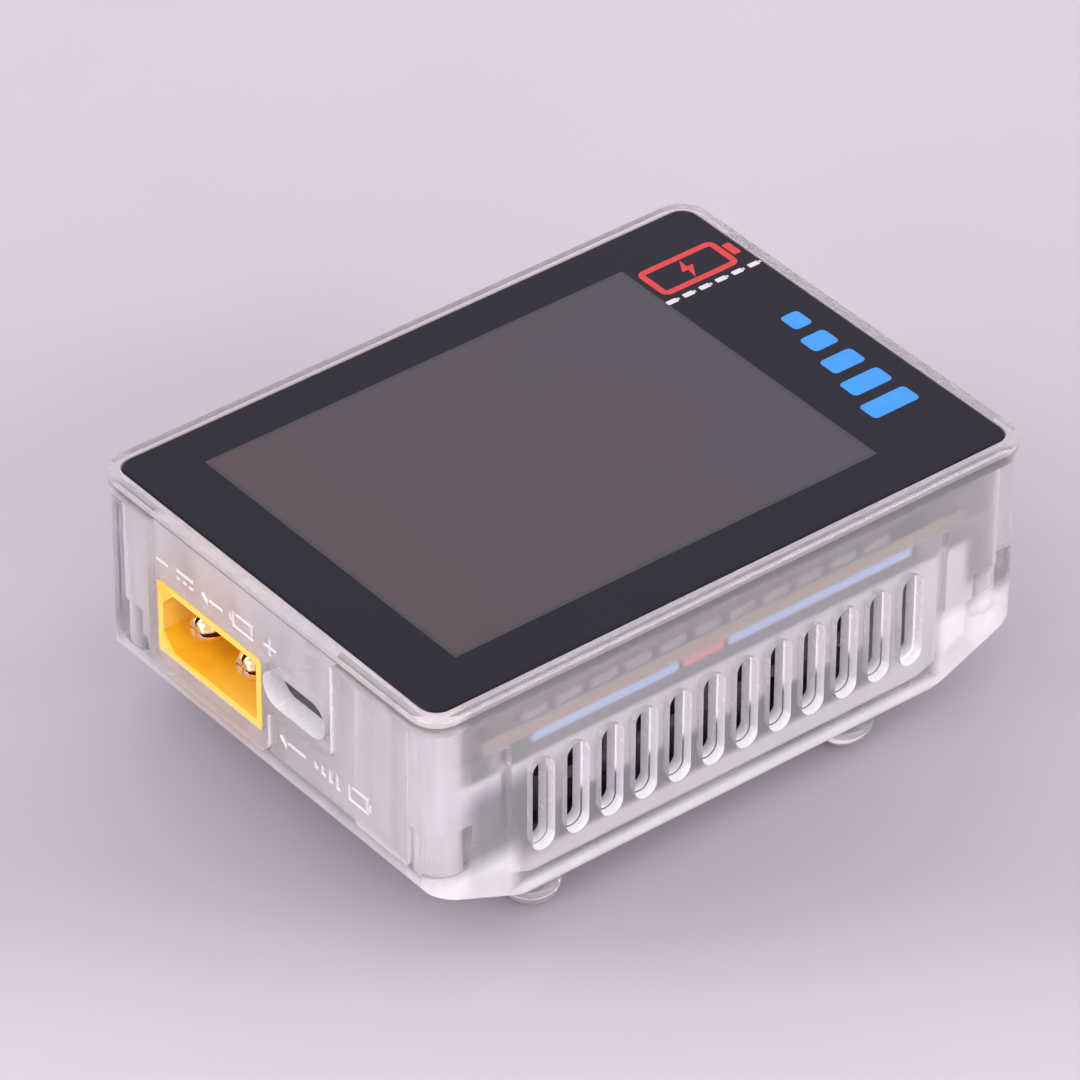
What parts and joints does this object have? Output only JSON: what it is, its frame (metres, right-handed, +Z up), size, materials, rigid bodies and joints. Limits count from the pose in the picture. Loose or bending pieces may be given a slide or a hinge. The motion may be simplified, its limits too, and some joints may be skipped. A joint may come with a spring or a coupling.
{
  "type": "balance battery charger",
  "caption": "Pocket balance charger in a clear case with a touch screen on top, vent slots, an inner fan and power, balance and port sockets at its two ends.",
  "frame": {"origin": "middle of the footprint, on the surface the feet stand on", "axes": "+X from the input end to the output end, +Y towards the back long side, +Z up towards the screen"},
  "size_m": [0.0712, 0.051, 0.028],
  "materials": {
    "clear_case": "clear moulded polycarbonate, polished outside, fine satin inside",
    "cover_glass": "toughened glass with a dark printed border",
    "black_foam": "adhesive foam",
    "display_dark": "display cell, switched off",
    "tray_steel": "thin pressed steel",
    "light_guide": "white acrylic",
    "flex_film": "amber flexible circuit",
    "board_laminate": "glass-fibre laminate with dark solder mask",
    "chip_black": "moulded epoxy",
    "ceramic_part": "ceramic with tinned ends",
    "capacitor_can": "drawn can",
    "ferrite": "pressed ferrite",
    "red_part": "red resin",
    "crystal_can": "plated can",
    "anodised_black": "black anodised, extruded",
    "screw_steel": "nickel-plated",
    "screw_black": "black oxide",
    "thermal_blue": "soft thermal pad",
    "fan_plastic": "glass-filled moulding",
    "copper_winding": "enamelled copper",
    "bearing_bronze": "sintered bronze",
    "label_foil": "plain foil",
    "magnet_ring": "bonded magnet",
    "shaft_steel": "ground steel",
    "wire_red": "soft insulation",
    "wire_black": "soft insulation",
    "white_nylon": "moulded nylon",
    "yellow_nylon": "moulded nylon, slightly see-through",
    "gold_contact": "gold-plated",
    "tin_pin": "tin-plated",
    "port_steel": "plated steel",
    "port_black": "moulded plastic",
    "clear_silicone": "clear soft dome"
  },
  "bodies": {
    "charger": {"upper_shell": "clear_case", "lower_shell": "clear_case", "cover_glass": "cover_glass", "glass_gasket": "black_foam", "lcd_panel": "display_dark", "backlight_tray": "tray_steel", "light_guide": "light_guide", "display_flex": "flex_film", "display_socket": "white_nylon", "touch_flex": "flex_film", "touch_socket": "port_black", "main_board": "board_laminate", "microcontroller": "chip_black", "driver_chips": "chip_black", "power_transistors": "chip_black", "board_capacitors": "ceramic_part", "bulk_capacitors": "capacitor_can", "power_inductors": "ferrite", "sense_resistors": "ceramic_part", "red_fuse": "red_part", "buzzer": "port_black", "crystal": "crystal_can", "heat_sink": "anodised_black", "heat_sink_screws": "screw_steel", "edge_thermal_pads": "thermal_blue", "centre_thermal_pad": "thermal_blue", "fan_frame": "fan_plastic", "fan_stator": "copper_winding", "fan_bearing": "bearing_bronze", "fan_label": "label_foil", "fan_screws": "screw_black", "fan_lead_red": "wire_red", "fan_lead_black": "wire_black", "fan_plug": "white_nylon", "fan_header": "white_nylon", "input_connector_housing": "yellow_nylon", "input_contact_pins": "gold_contact", "output_connector_housing": "yellow_nylon", "output_contact_sockets": "gold_contact", "balance_port_housing": "white_nylon", "balance_port_pins": "tin_pin", "type_c_shell": "port_steel", "type_c_core": "port_black", "case_screws": "screw_steel", "feet": "clear_silicone"},
    "fan_rotor": {"fan_impeller": "fan_plastic", "fan_magnet": "magnet_ring", "fan_shaft": "shaft_steel"}
  },
  "joints": [
    {"name": "fan_spin", "type": "hinge", "parent": "charger", "child": "fan_rotor", "pos_m": [-0.0005, -0.001, 0.008], "axis": [0, 0, 1], "continuous": true}
  ]
}
